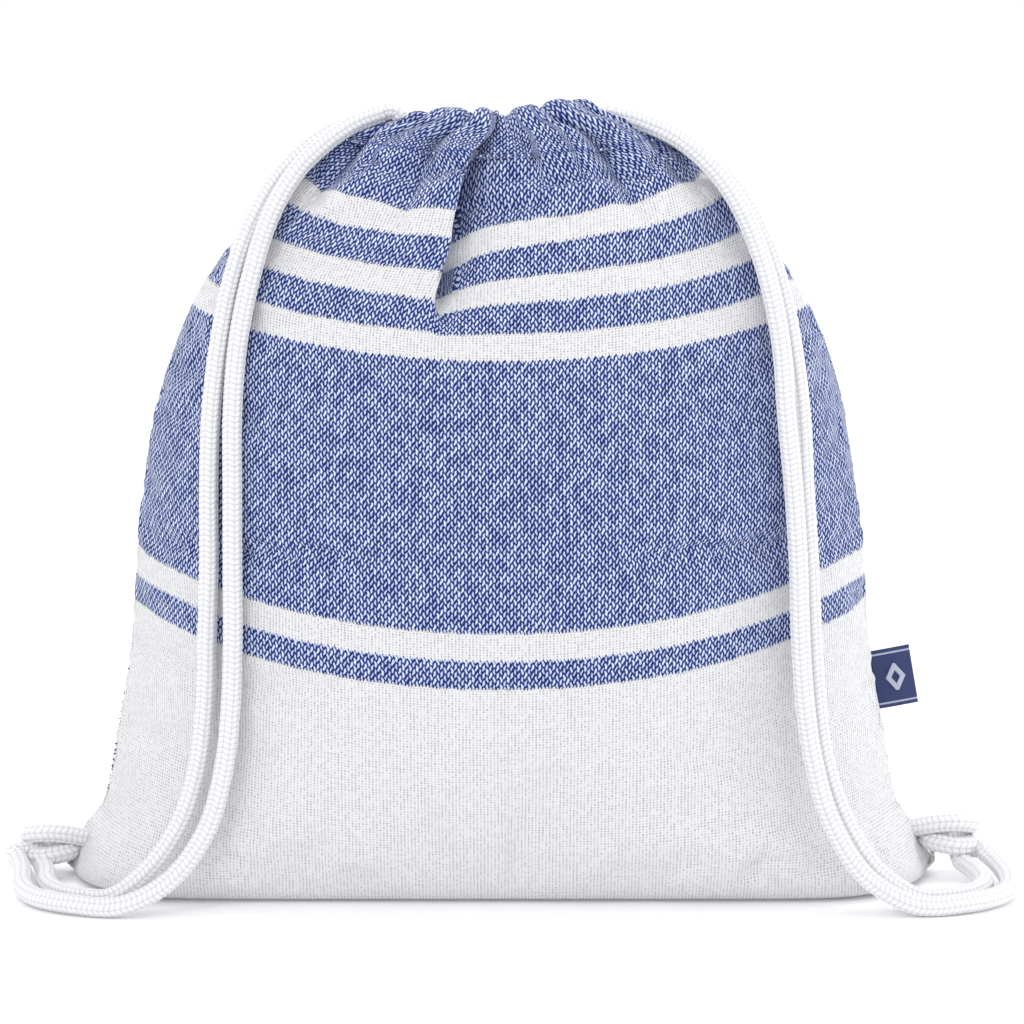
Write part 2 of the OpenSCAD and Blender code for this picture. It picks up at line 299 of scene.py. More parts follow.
def panel_cloth(a, v, valleys, pleat, rim, seed):
    """Points of one panel, drawn as the front one, with its folds."""
    p = panel_base(a, v, pleat)
    normal, across, _ = grid_frames(p)
    reach = np.linalg.norm(np.gradient(p, axis=1), axis=-1) / np.maximum(np.gradient(a, axis=1), 1e-6)
    lap, step = pleat_moves(a, v, reach, pleat)
    held = smooth(1, 0.97, np.abs(a))
    off_floor = smooth(0.5 * MM, 12 * MM, p[..., 2])
    in_casing = (1 - smooth(24 * MM, 40 * MM, v)) * smooth(-8 * MM, -2 * MM, v)
    out = valley_depth(a, v, reach, valleys) + in_casing * 0.8 * MM
    out += (step + corner_drag(a, v) + waves(a, v, seed) * smooth(20 * MM, 70 * MM, v) * off_floor)
    p = p + normal * (out * held)[..., None] + across * (lap * held)[..., None]
    top = np.interp(a, [r[0] for r in rim], [r[1] * MM for r in rim])
    p[..., 2] += top * (1 - smooth(4 * MM, 34 * MM, np.abs(v)))
    hem = smooth(-24 * MM, HEM_V, v)[..., None]
    stitch_line = panel_base(a, np.full_like(v, STITCH_V), pleat) - normal * 0.8 * MM
    p = np.where(v[..., None] < 0, p * (1 - hem) + stitch_line * hem, p)
    p[..., 1] = np.minimum(p[..., 1], -0.15 * MM)
    p[..., 2] = np.maximum(p[..., 2], 0)
    return p


def weave_u(points, a, v, valleys, pleat):
    """How far across the cloth each point lies. Threads run along the gathers, and hide in the valleys."""
    gone = np.concatenate([np.zeros((len(points), 1)),
                           np.cumsum(np.linalg.norm(np.diff(points, axis=1), axis=-1), axis=1)], axis=1)
    middle = points.shape[1] // 2
    gone -= gone[:, middle:middle + 1]
    low, fades = np.array(sorted([(w[1], w[4] * MM) for w in valleys] + [(pleat[2][1], 0)])).T
    ridges = np.concatenate([[-1], (low[1:] + low[:-1]) / 2, [1]])
    level = int(np.argmin(np.abs(v[:, 0] - 110 * MM)))
    index = np.interp(ridges, a[0], np.arange(a.shape[1]))
    at_ridge = np.stack([np.interp(index, np.arange(a.shape[1]), row) for row in gone])
    hidden = np.diff(at_ridge[level])[None] - np.diff(at_ridge, axis=1)
    hidden[level:] = 0
    extra = np.zeros_like(gone)
    for k, (place, fade) in enumerate(zip(low, fades)):
        shown = hidden[:, k:k + 1]
        if fade:
            shown = THREADS_HIDDEN * np.maximum(0, shown) * (1 - smooth(0.4 * fade, 1.1 * fade, v))
        extra += shown * smooth(place - 0.01, place + 0.01, a)
    return gone + extra - extra[:, middle:middle + 1]


# ---- Meshes ----

# Height of a tube's end, as a share of its radius
DOME_HEIGHT = 0.35


def new_mesh(name, points, faces, material, body, uv=None):
    """A smooth mesh object that rides on a CAD body. uv gives each vertex its place in the material."""
    mesh = bpy.data.meshes.new(name)
    mesh.from_pydata([tuple(p) for p in np.asarray(points, float)], [], [tuple(map(int, f)) for f in faces])
    mesh.polygons.foreach_set("use_smooth", [True] * len(mesh.polygons))
    if uv is not None:
        loops = np.zeros(len(mesh.loops), np.int32)
        mesh.loops.foreach_get("vertex_index", loops)
        layer = mesh.uv_layers.new(name="UVMap")
        layer.data.foreach_set("uv", np.asarray(uv, np.float32)[loops].ravel())
    mesh.materials.append(material)
    mesh.update()
    made = bpy.data.objects.new(name, mesh)
    bpy.context.scene.collection.objects.link(made)
    if body:
        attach(made, body)
    return made


def grid_faces(rows, columns, flip=False):
    """Four-sided faces of a grid of points stored row by row."""
    j, i = np.meshgrid(np.arange(rows - 1), np.arange(columns - 1), indexing="ij")
    a = j * columns + i
    faces = np.stack([a, a + columns, a + columns + 1, a + 1], axis=-1).reshape(-1, 4)
    return faces[:, ::-1] if flip else faces


def solidify(obj, thickness):
    """Gives a sheet its thickness, on its inner side."""
    modifier = obj.modifiers.new("thickness", "SOLIDIFY")
    modifier.thickness = thickness
    modifier.offset = -1
    bpy.context.view_layer.update()
    solid = bpy.data.meshes.new_from_object(obj.evaluated_get(bpy.context.evaluated_depsgraph_get()))
    obj.modifiers.clear()
    obj.data = solid
    return obj


def tube(path, radius, sides, relief=None):
    """(points, faces, uv) of a tube along a path, with uv in turns and metres. relief adds to its radius."""
    path = np.asarray(path, float)
    radius = np.broadcast_to(radius, len(path)).astype(float)
    tangent = unit(np.gradient(path, axis=0))
    side = unit(np.cross(tangent[0], [0.1, 0.2, 1.0]))
    sides_of, along = [], np.concatenate([[0], np.cumsum(np.linalg.norm(np.diff(path, axis=0), axis=1))])
    for t in tangent:
        side = unit(side - (side @ t) * t)
        sides_of.append(side)
    first = np.array(sides_of)
    second = np.cross(tangent, first)
    turn = np.linspace(0, 1, sides + 1)
    around, down = np.meshgrid(turn, along)
    r = radius[:, None] + (relief(around, down) if relief else 0)
    angle = 2 * math.pi * around
    points = (path[:, None] + (r * np.cos(angle))[..., None] * first[:, None]
              + (r * np.sin(angle))[..., None] * second[:, None])
    uv = np.stack([around, down], axis=-1).reshape(-1, 2)
    faces = grid_faces(len(path), sides + 1, flip=True)
    return cap_tube(points.reshape(-1, 3), faces, uv, path, sides)


def cap_tube(points, faces, uv, path, sides):
    """Closes each end of a tube with a low dome. Its seam column stays doubled, so the braid can wrap."""
    rows = len(path)
    caps = []
    for row, ring in ((0, 0), (rows - 1, (rows - 1) * (sides + 1))):
        centre = len(points)
        outward = unit(path[row] - path[row - 1 if row else 1])
        size = np.linalg.norm(points[ring] - path[row])
        points = np.vstack([points, path[row] + outward * DOME_HEIGHT * size])
        uv = np.vstack([uv, uv[ring]])
        for k in range(sides):
            pair = (ring + k, ring + k + 1) if row else (ring + k + 1, ring + k)
            caps.append((centre, *pair))
    return points, [tuple(f) for f in faces] + caps, uv


# ---- Materials ----


class Shader:
    """A node material around one Principled shader, with short calls for its nodes."""

    def __init__(self, name, roughness, **constants):
        self.material = bpy.data.materials.new(name)
        self.material.use_nodes = True
        self.tree = self.material.node_tree
        self.out = self.tree.nodes["Principled BSDF"]
        self.out.inputs["Roughness"].default_value = roughness
        for key, value in constants.items():
            self.out.inputs[key.replace("_", " ")].default_value = value

    def put(self, socket, value):
        if isinstance(value, bpy.types.NodeSocket):
            self.tree.links.new(value, socket)
        else:
            socket.default_value = value

    def node(self, kind, inputs=(), **settings):
        made = self.tree.nodes.new(kind)
        for key, value in settings.items():
            setattr(made, key, value)
        for key, value in dict(inputs).items():
            self.put(made.inputs[key], value)
        return made

    def math(self, operation, a, b=0.0, c=0.0, clamp=False):
        made = self.node("ShaderNodeMath", {0: a, 1: b, 2: c}, operation=operation, use_clamp=clamp)
        return made.outputs[0]

    def band(self, value, low, high):
        """1 where value is below low, 0 above high, smooth between."""
        made = self.node("ShaderNodeMapRange", {0: value, 1: low, 2: high, 3: 1.0, 4: 0.0},
                         interpolation_type="SMOOTHSTEP")
        return made.outputs[0]

    def mix(self, share, a, b):
        made = self.node("ShaderNodeMix", data_type="RGBA")
        for socket, value in ((0, share), (6, a), (7, b)):
            self.put(made.inputs[socket], value)
        return made.outputs[2]

    def blend(self, share, a, b):
        made = self.node("ShaderNodeMix", {0: share, 2: a, 3: b}, data_type="FLOAT")
        return made.outputs[0]

    def uv(self, scale=1000.0):
        """(across, along) in millimetres, or in the UV's own units with scale 1."""
        layer = self.node("ShaderNodeUVMap", uv_map="UVMap").outputs[0]
        place = self.node("ShaderNodeSeparateXYZ", {0: layer})
        return tuple(self.math("MULTIPLY", place.outputs[k], scale) for k in (0, 1))

    def random(self, a, b):
        cell = self.node("ShaderNodeCombineXYZ", {0: a, 1: b}).outputs[0]
        return self.node("ShaderNodeTexWhiteNoise", {0: cell}, noise_dimensions="2D").outputs[0]

    def noise(self, size, detail=2.0):
        """Noise with lumps about size metres across, in the object's own space."""
        place = self.node("ShaderNodeTexCoord").outputs["Object"]
        made = self.node("ShaderNodeTexNoise", {"Vector": place, "Scale": 1 / size, "Detail": detail})
        return made.outputs[0]

    def finish(self, colour, height=None, distance=0.0003, strength=0.6):
        self.put(self.out.inputs["Base Color"], colour)
        if height is not None:
            relief = {"Height": height, "Distance": distance, "Strength": strength}
            bump = self.node("ShaderNodeBump", relief)
            self.put(self.out.inputs["Normal"], bump.outputs[0])
        return self.material


def colour(r, g, b):
    """A linear colour from display values of 0 to 255."""
    return tuple(((x / 255 + 0.055) / 1.055) ** 2.4 if x > 10 else x / 3294.6 for x in (r, g, b)) + (1.0,)


BLUE = colour(54, 88, 170)
BLUE_DEEP = colour(20, 34, 92)
DASH = colour(214, 222, 240)
WHITE = colour(228, 228, 230)
# Grey painted in the holes of the open weave as painted shade; the seam allowance's thread loops use it too
WEAVE_GAP = colour(150, 152, 160)
CORD_WHITE = colour(240, 240, 242)
CORD_SHADE = colour(214, 215, 221)
NAVY = colour(34, 46, 92)
# Lighter navy for the label's raised threads: painted highlight
NAVY_HIGHLIGHT = colour(56, 72, 128)
THREAD_DARK = colour(40, 44, 62)

# The white bands of the striped cloth, in millimetres down it from the rim
WHITE_BANDS = [(56, 67), (79, 91), (104, 116), (224, 235.5), (247.5, 460)]
RAMP_LENGTH = 480
COLUMN = 1.4
DASH_PITCH = 3.1
DOT_PITCH = 1.05


def striped_cotton():
    """Flat-woven cotton: white dashes floating on blue, and open plain weave in the white bands, with
    painted shade in its holes.
    """
    s = Shader("striped_cotton", 0.85, Sheen_Weight=0.4, Sheen_Roughness=0.4, Specular_IOR_Level=0.25)
    across, down = s.uv()
    column = s.math("DIVIDE", across, COLUMN)
    column_no = s.math("FLOOR", column)
    in_column = s.math("SUBTRACT", s.math("FRACT", column), 0.5)
    odd = s.math("FLOORED_MODULO", column_no, 2.0)
    row = s.math("MULTIPLY_ADD", odd, 0.5, s.math("DIVIDE", down, DASH_PITCH))
    row_no = s.math("FLOOR", row)
    in_row = s.math("SUBTRACT", s.math("FRACT", row), 0.5)
    chance = s.random(column_no, row_no)
    lean = s.math("MULTIPLY_ADD", odd, 1.0, -0.35)
    turn = s.math("MULTIPLY_ADD", in_row, 9.0, s.math("MULTIPLY", chance, 6.0))
    wobble = s.math("MULTIPLY", s.math("SINE", turn), 0.1)
    offset = s.math("ADD", s.math("MULTIPLY_ADD", in_row, lean, in_column), wobble)
    thin = s.math("DIVIDE", offset, s.math("MULTIPLY_ADD", chance, 0.12, 0.27))
    long = s.math("DIVIDE", in_row, s.math("MULTIPLY_ADD", chance, 0.1, 0.36))
    grain = s.math("SQRT", s.math("ADD", s.math("MULTIPLY", thin, thin), s.math("MULTIPLY", long, long)))
    dash = s.band(grain, 0.7, 1.12)
    wear = s.math("MULTIPLY_ADD", s.noise(0.008, 3), 0.5, 0.7)
    ground = s.mix(s.math("MULTIPLY", s.band(grain, 0.95, 1.55), wear), BLUE_DEEP, BLUE)
    blue_face = s.mix(s.math("MULTIPLY", dash, s.math("MULTIPLY_ADD", chance, 0.25, 0.75)), ground, DASH)

    # The white bands' open weave: the holes between its threads are painted grey (WEAVE_GAP) as painted
    # shade
    dot_row = s.math("DIVIDE", down, DOT_PITCH)
    dot_chance = s.random(column_no, s.math("FLOOR", dot_row))
    dot_y = s.math("MULTIPLY", s.math("SUBTRACT", s.math("FRACT", dot_row), 0.5), 0.75)
    dot_away = s.math("SQRT", s.math("ADD", s.math("MULTIPLY", in_column, in_column),
                                     s.math("MULTIPLY", dot_y, dot_y)))
    dot = s.math("MULTIPLY", s.band(dot_away, 0.16, 0.34),
                 s.math("MULTIPLY_ADD", dot_chance, 0.75, 0.25))
    white_face = s.mix(s.math("MULTIPLY", dot, 0.8), WHITE, WEAVE_GAP)

    tooth = s.math("PINGPONG", across, COLUMN / 2)
    level = s.math("MULTIPLY_ADD", tooth, 2.0, s.math("SUBTRACT", down, 0.75))
    level = s.math("MULTIPLY_ADD", s.random(column_no, 0.0), 0.7, level)
    ramp = s.node("ShaderNodeValToRGB", {0: s.math("DIVIDE", level, RAMP_LENGTH)})
    bands = ramp.color_ramp
    bands.interpolation = "CONSTANT"
    edges = [edge for low, high in WHITE_BANDS for edge in ((low, 1.0), (high, 0.0))]
    stops = [(place / RAMP_LENGTH, shade) for place, shade in edges]
    bands.elements[0].color = (0, 0, 0, 1)
    bands.elements[1].position, bands.elements[1].color = stops[0][0], (1, 1, 1, 1)
    for place, shade in stops[1:]:
        bands.elements.new(min(place, 1.0)).color = (shade, shade, shade, 1)
    white = s.math("MULTIPLY", ramp.outputs[0], 1.0)

    fine = s.math("MULTIPLY", s.math("SINE", s.math("MULTIPLY", down, 12.0)), 0.12)
    blue_height = s.math("ADD", s.math("MULTIPLY", dash, 0.75), fine)
    white_height = s.math("ADD", s.math("SUBTRACT", 0.6, s.math("MULTIPLY", dot, 0.8)), fine)
    face = s.mix(white, blue_face, white_face)
    return s.finish(face, s.blend(white, blue_height, white_height), 0.0004, 0.7)


BRAID_COLUMNS = 8
BRAID_PITCH = 2.2 * MM


def braid_relief(around, along):
    """Height of the braid on a cord, from 0 to 1: plump grains in columns that lean to and fro."""
    column = around * BRAID_COLUMNS
    part = column - np.floor(column)
    lean = np.where(np.floor(column) % 2 < 1, 1, -1)
    grain = np.abs(np.sin(math.pi * (along / BRAID_PITCH + lean * (part - 0.5) * 0.5)))
    return np.sin(math.pi * part) ** 0.5 * grain**0.6


def braided_cord():
    """Braided white cotton cord."""
    s = Shader("braided_cord", 0.8, Sheen_Weight=0.3, Sheen_Roughness=0.4, Specular_IOR_Level=0.3)
    around, along = s.uv(1.0)
    column = s.math("MULTIPLY", around, float(BRAID_COLUMNS))
    part = s.math("FRACT", column)
    lean = s.math("MULTIPLY_ADD", s.math("FLOORED_MODULO", s.math("FLOOR", column), 2.0), -1.0, 0.5)
    phase = s.math("MULTIPLY_ADD", s.math("SUBTRACT", part, 0.5), lean, s.math("DIVIDE", along, BRAID_PITCH))
    grain = s.math("ABSOLUTE", s.math("SINE", s.math("MULTIPLY", phase, math.pi)))
    plump = s.math("SQRT", s.math("SINE", s.math("MULTIPLY", part, math.pi)))
    height = s.math("MULTIPLY", s.math("POWER", grain, 0.6), plump)
    strand = s.math("ABSOLUTE", s.math("SINE", s.math("MULTIPLY", phase, math.pi * 5)))
    height = s.math("MULTIPLY_ADD", strand, 0.12, height)
    shade = s.mix(s.band(height, 0.1, 0.75), CORD_WHITE, CORD_SHADE)
    return s.finish(shade, height, 0.0005, 0.8)


def sewing_thread(name, tone):
    """Twisted sewing thread, with painted shade along its twist."""
    s = Shader(name, 0.6, Sheen_Weight=0.2, Specular_IOR_Level=0.4)
    around, along = s.uv(1.0)
    twist = s.math("SINE", s.math("MULTIPLY_ADD", along, 9000.0, s.math("MULTIPLY", around, 2 * math.pi)))
    # A darker copy of the thread's colour, painted along the twist as painted shade
    twist_shade = tuple(0.6 * x for x in tone[:3]) + (1,)
    shade = s.mix(s.math("MULTIPLY_ADD", twist, 0.2, 0.3, clamp=True), tone, twist_shade)
    return s.finish(shade, twist, 0.0001, 0.5)


def woven_label():
    """Fine satin tape with a thread relief, its raised threads painted lighter as painted highlight, and a
    paler selvedge along its top and bottom.
    """
    s = Shader("woven_label", 0.5, Sheen_Weight=0.3, Sheen_Roughness=0.3, Specular_IOR_Level=0.45)
    across, up = s.uv()
    ribs = s.math("SINE", s.math("MULTIPLY", up, 2 * math.pi / 0.42))
    warp = s.math("SINE", s.math("MULTIPLY", across, 2 * math.pi / 0.55))
    weave = s.math("MULTIPLY", ribs, warp)
    edge = s.math("ABSOLUTE", up)
    line = s.math("MULTIPLY", s.band(s.math("ABSOLUTE", s.math("SUBTRACT", edge, 10.6)), 0.25, 0.5), 0.8)
    # Raised threads are painted the lighter navy as painted highlight; the low ones keep the plain navy
    shade = s.mix(s.math("MULTIPLY_ADD", weave, 0.3, 0.35, clamp=True), NAVY, NAVY_HIGHLIGHT)
    return s.finish(s.mix(line, shade, colour(196, 204, 224)), weave, 0.00015, 0.6)


def seam_allowance():
    """Overlocked raw edge inside the bag: white cotton crossed by thread."""
    s = Shader("seam_allowance", 0.9, Sheen_Weight=0.2)
    place = s.node("ShaderNodeSeparateXYZ", {0: s.node("ShaderNodeTexCoord").outputs["Object"]})
    loops = s.math("SINE", s.math("MULTIPLY", place.outputs[2], 2 * math.pi / (2.4 * MM)))
    shade = s.mix(s.math("MULTIPLY_ADD", loops, 0.3, 0.4, clamp=True), WHITE, WEAVE_GAP)
    return s.finish(shade, loops, 0.0003, 0.6)


def studio_floor():
    """Plain pale floor."""
    s = Shader("studio_floor", 0.9, Emission_Color=(1, 1, 1, 1), Emission_Strength=0.08)
    shade = s.mix(s.noise(0.3), colour(250, 250, 251), colour(247, 247, 249))
    return s.finish(shade)


COTTON = striped_cotton()
CORD = braided_cord()
THREAD_BLUE = sewing_thread("sewing_thread_blue", BLUE)
THREAD_WHITE = sewing_thread("sewing_thread_white", WHITE)
THREAD_NAVY = sewing_thread("sewing_thread_navy", THREAD_DARK)
LABEL = woven_label()
WEFT = sewing_thread("label_weft", colour(206, 212, 230))
SEAM = seam_allowance()

# ---- Camera ----

CAMERA_DISTANCE = 1.5
CAMERA_ELEVATION = math.radians(8)
CAMERA_TARGET = np.array([5, 0, 154.6]) * MM
FIELD = 430 * MM


def add_camera():
    data = bpy.data.cameras.new("camera")
    data.type = "PERSP"
    data.sensor_width = 36
    data.lens = data.sensor_width * CAMERA_DISTANCE / FIELD
    made = bpy.data.objects.new("camera", data)
    back = np.array([0, -math.cos(CAMERA_ELEVATION), math.sin(CAMERA_ELEVATION)])
    made.location = CAMERA_TARGET + CAMERA_DISTANCE * back
    made.rotation_euler = (math.pi / 2 - CAMERA_ELEVATION, 0, 0)
    bpy.context.scene.collection.objects.link(made)
    bpy.context.scene.camera = made


add_camera()

# ---- Cords ----

CORD_SIDES = 32
RING_STEP = 0.9 * MM
ROUTE_STEPS = 12
BRAID_DEPTH = 0.35 * MM

LEFT_FRONT_ROUTE = [
    (-48.5, -4.3, 321), (-60, -9, 317), (-72, -14, 309), (-84, -20, 297),
    (-94, -27, 279), (-101, -36, 256), (-106, -43, 230), (-108, -50, 202),
    (-108, -55, 172), (-108, -58.5, 142), (-108, -61, 112), (-109, -63, 84),
    (-112, -66, 58), (-119, -70, 34), (-133, -75, 15), (-153, -78, 4.8),
    (-174, -73, 4.4), (-190, -61, 4.4), (-197.5, -43, 4.6), (-200, -24, 6),
    (-204.5, -12, 10),
]
LEFT_REAR_ROUTE = [
    (-48.5, 4.5, 320), (-60, 1, 317), (-75, -5, 310), (-90, -12, 296),
    (-101, -21.5, 278), (-109, -31, 255), (-114, -39, 229), (-117, -46, 201),
    (-118, -49.5, 171), (-118, -52.5, 141), (-119, -54.5, 111), (-120, -56.5, 83),
    (-123, -59, 58), (-130, -63, 36), (-142, -66, 18), (-157, -67, 6),
    (-171, -62, 4.4), (-182, -52, 4.4), (-188, -38, 4.6), (-190, -23, 5),
    (-193.5, -12.4, 6.5),
]
RIGHT_FRONT_ROUTE = [
    (48.5, -4.3, 320), (60, -8, 317), (75, -14, 310), (90, -20, 296),
    (101, -26, 278), (109, -36, 255), (114, -44, 229), (116, -51, 201),
    (119, -53, 171), (121, -56, 141), (122, -58, 111), (124, -60, 84),
    (128, -63, 59), (135, -67, 36), (148, -72, 16), (168, -76, 4.8),
    (190, -71, 4.4), (206, -57, 4.4), (211.5, -38, 4.6), (210, -20, 7),
    (204.5, -10, 11),
]
RIGHT_REAR_ROUTE = [
    (48.5, 4.5, 319), (60, 1, 316), (76, -5, 309), (92, -11, 296),
    (104, -18.5, 279), (113, -27, 257), (119, -35.5, 230), (122.5, -42.5, 201),
    (124, -46, 172), (126, -48.5, 142), (127.5, -50.5, 112), (129.5, -52.5, 84),
    (133, -55.5, 59), (141, -60, 36), (153, -64.5, 17), (169, -66.5, 6),
    (184, -62, 4.4), (196, -51, 4.4), (201.5, -36, 4.6), (200, -22, 5),
    (195.5, -13, 7),
]


def cord_path(points):
    """The curve through a cord's route, in even steps."""
    return evenly(finer(points, ROUTE_STEPS), RING_STEP)


def cord_relief(around, along):
    return BRAID_DEPTH * (braid_relief(around, along) - 0.75)


def braided_tube(name, points, body, radius=CORD_RADIUS):
    """(object, ring centres) of a braided cord along the points, in metres."""
    path = cord_path(points)
    points, faces, uv = tube(path, radius, CORD_SIDES, cord_relief)
    made = new_mesh(name, points, faces, CORD, body, uv)
    return made, path


def strand(node, route, body):
    """One free strand of a strap, as a braided cord along its route."""
    route = np.array(route) * MM
    made, path = braided_tube(node.replace("_strand", "_cord"), route, body)
    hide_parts(node)
    return made


strand("left_strap_front_strand", LEFT_FRONT_ROUTE, "left_strap")
strand("left_strap_rear_strand", LEFT_REAR_ROUTE, "left_strap")
strand("right_strap_front_strand", RIGHT_FRONT_ROUTE, "right_strap")
strand("right_strap_rear_strand", RIGHT_REAR_ROUTE, "right_strap")

# The cord inside the casings: its squeeze, its loop at the far side, and its step down at the back
SQUEEZE = 0.6 * MM
LOOP_START = 31.5 * MM
LOOP_BULGE = 6.5 * MM
LOOP_HALF_WIDTH = 7 * MM
BACK_LOWER = 4 * MM


def held_cord(node, side, level, ends):
    """The stretch of a drawcord inside the casings. side is where its ends come out, -1 left or 1 right."""
    angles = np.linspace(-ARC_HALF_ANGLE, ARC_HALF_ANGLE, 11)
    front = [(side * ARC_RADIUS * math.sin(-t), ARC_CENTRE_Y - ARC_RADIUS * math.cos(t)) for t in angles]
    turn = []
    for t in (-0.9, 0, 0.9):
        turn.append((-side * (LOOP_START + LOOP_BULGE * math.cos(t)), LOOP_HALF_WIDTH * math.sin(t)))
    back = [(x, -y) for x, y in reversed(front)]
    middle = [(x, y, level) for x, y in front + turn] + [(x, y, level - BACK_LOWER) for x, y in back]
    start, finish = (np.array(p) * MM for p in ends)
    inward = np.array([-side * 6 * MM, 0, 0])
    route = [start, start + inward, *middle, finish + inward, finish]
    made, _ = braided_tube(node.replace("_in_casing", "_held"), route, "bag", CORD_RADIUS - SQUEEZE)
    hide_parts(node)


held_cord("left_cord_in_casing", -1, 312 * MM, (LEFT_FRONT_ROUTE[0], LEFT_REAR_ROUTE[0]))
held_cord("right_cord_in_casing", 1, 304 * MM, (RIGHT_FRONT_ROUTE[0], RIGHT_REAR_ROUTE[0]))

# ---- Cloth ----

COLUMNS = 289
CASING_ROW = 1.3 * MM
GATHER_ROW = 1.3 * MM
BODY_ROW = 2.8 * MM
GATHER_END = 120 * MM


def rows_of(*parts):
    """Distances down the cloth, each part (from, to, step) joined to the next."""
    spans = []
    for low, high, step in parts:
        spans.append(np.linspace(low, high, max(2, round((high - low) / step)), endpoint=False))
    return np.concatenate([*spans, [parts[-1][1]]])


def cloth_grid(side, layout, moves):
    """(points, u, v) of a panel with its casing, after the cloth has settled. side is -1 for the front."""
    a, v = np.meshgrid(np.linspace(-1, 1, COLUMNS), np.concatenate([CASING_ROWS[:-1], PANEL_ROWS]))
    points = panel_cloth(a, v, **layout)
    u = weave_u(points, a, v, layout["valleys"], layout["pleat"])
    points = points + resample(moves, a, v) * smooth(0, 20 * MM, points[..., 2:])
    points[..., 2] = np.maximum(points[..., 2], 0)
    points[..., 1] *= -side
    return points, u, v


def cloth_piece(name, side, rows, grid, tucked=0):
    """Some rows of a panel's grid as a piece of cloth. Its first tucked rows lie under the casing."""
    points, u, v = (layer[rows].copy() for layer in grid)
    inward = grid_frames(points)[0][:tucked] * side
    points[:tucked] += inward * CLOTH_THICKNESS
    uv = np.stack([u, v], axis=-1).reshape(-1, 2)
    faces = grid_faces(*v.shape, flip=side > 0)
    made = new_mesh(name, points.reshape(-1, 3), faces, COTTON, "bag", uv)
    return solidify(made, CLOTH_THICKNESS)


FRONT = {"valleys": FRONT_VALLEYS, "pleat": FRONT_PLEAT, "rim": FRONT_RIM, "seed": 3}
BACK = {"valleys": BACK_VALLEYS, "pleat": BACK_PLEAT, "rim": BACK_RIM, "seed": 8}
CASING_ROWS = rows_of((HEM_V, STITCH_V, CASING_ROW))
PANEL_ROWS = rows_of((STITCH_V, GATHER_END, GATHER_ROW), (GATHER_END, PANEL_LENGTH, BODY_ROW))
STITCH_ROW = len(CASING_ROWS) - 1
TUCKED_ROWS = 3

# ---- How the cloth settles ----

SETTLE_COLUMNS = 81
SETTLE_ROWS = 92
SETTLE_FRAMES = 16
SETTLE_CAP = 5 * MM
SPARE_CLOTH = 0.035
FILLING_PRESSURE = 3
# Where the settling fades out: below the stitch line, by the side seams (a), and up from the bottom seam
HELD_BELOW_STITCHES = 14 * MM
HELD_BY_SEAMS = (0.94, 0.985)
HELD_BY_BASE = (40 * MM, 25 * MM)
# Share of the slow, wide bulging that is taken back out, and how many cells wide it is
BULGE_REMOVED = 0.85
BULGE_CELLS = 9


def settle_mesh(a, v):
    """A coarse bag with its panels joined along the seams, and the numbers of each panel's points in it."""
    rows, columns = a.shape
    front = panel_cloth(a, v, **FRONT)
    back = panel_cloth(a, v, **BACK) * np.array([1, -1, 1])
    front_no = np.arange(rows * columns).reshape(rows, columns)
    own = np.zeros((rows, columns), bool)
    own[:-1, 1:-1] = True
    back_no = front_no.copy()
    back_no[own] = rows * columns + np.arange(own.sum())
    points = np.vstack([front.reshape(-1, 3), back[own]])
    faces = grid_faces(rows, columns)
    back_faces = back_no.ravel()[grid_faces(rows, columns, flip=True)]
    mesh = bpy.data.meshes.new("settling_bag")
    mesh.from_pydata([tuple(p) for p in points], [], [tuple(map(int, f)) for f in (*faces, *back_faces)])
    return mesh, points, front_no, back_no


def settle():
    """How far each panel's cloth moves as the filled bag settles: {side: moves}, on an even grid."""
    a, v = np.meshgrid(np.linspace(-1, 1, SETTLE_COLUMNS), np.linspace(STITCH_V, PANEL_LENGTH, SETTLE_ROWS))
    mesh, points, front_no, back_no = settle_mesh(a, v)
    bag = bpy.data.objects.new("settling_bag", mesh)
    bpy.context.scene.collection.objects.link(bag)
    pins = bag.vertex_groups.new(name="pins")
    held = np.zeros(len(points))
    for numbers in (front_no, back_no):
        weight = 1 - smooth(STITCH_V, STITCH_V + HELD_BELOW_STITCHES, v)
        weight = np.maximum(weight, smooth(*HELD_BY_SEAMS, np.abs(a)))
        weight = np.maximum(weight, smooth(*(PANEL_LENGTH - up for up in HELD_BY_BASE), v))
        held[numbers] = np.maximum(held[numbers], weight)
    for number, weight in enumerate(held):
        pins.add([number], float(weight), "REPLACE")
    cloth = bag.modifiers.new("cloth", "CLOTH")
    cloth.settings.quality = 6
    cloth.settings.mass = 0.2
    cloth.settings.tension_stiffness = 20
    cloth.settings.compression_stiffness = 20
    cloth.settings.shear_stiffness = 8
    cloth.settings.bending_stiffness = 0.25
    cloth.settings.air_damping = 2
    cloth.settings.shrink_min = -SPARE_CLOTH
    cloth.settings.vertex_group_mass = "pins"
    cloth.settings.use_pressure = True
    cloth.settings.uniform_pressure_force = FILLING_PRESSURE
    cloth.settings.effector_weights.gravity = 0
    cloth.collision_settings.use_collision = False
    cloth.point_cache.frame_end = SETTLE_FRAMES
    for number in range(1, SETTLE_FRAMES + 1):
        bpy.context.scene.frame_set(number)
    settled = bag.evaluated_get(bpy.context.evaluated_depsgraph_get()).data
    now = np.zeros(len(points) * 3, np.float32)
    settled.vertices.foreach_get("co", now)
    moved = now.reshape(-1, 3) - points
    bpy.data.objects.remove(bag)
    bpy.context.scene.frame_set(1)
    made = {}
    for side, numbers in ((-1, front_no), (1, back_no)):
        moves = moved[numbers] * np.array([1, -side, 1])
        moves = moves - BULGE_REMOVED * blurred(moves, BULGE_CELLS)
        size = np.linalg.norm(moves, axis=-1, keepdims=True)
        made[side] = moves * np.minimum(1, SETTLE_CAP / np.maximum(size, 1e-9))
    return made


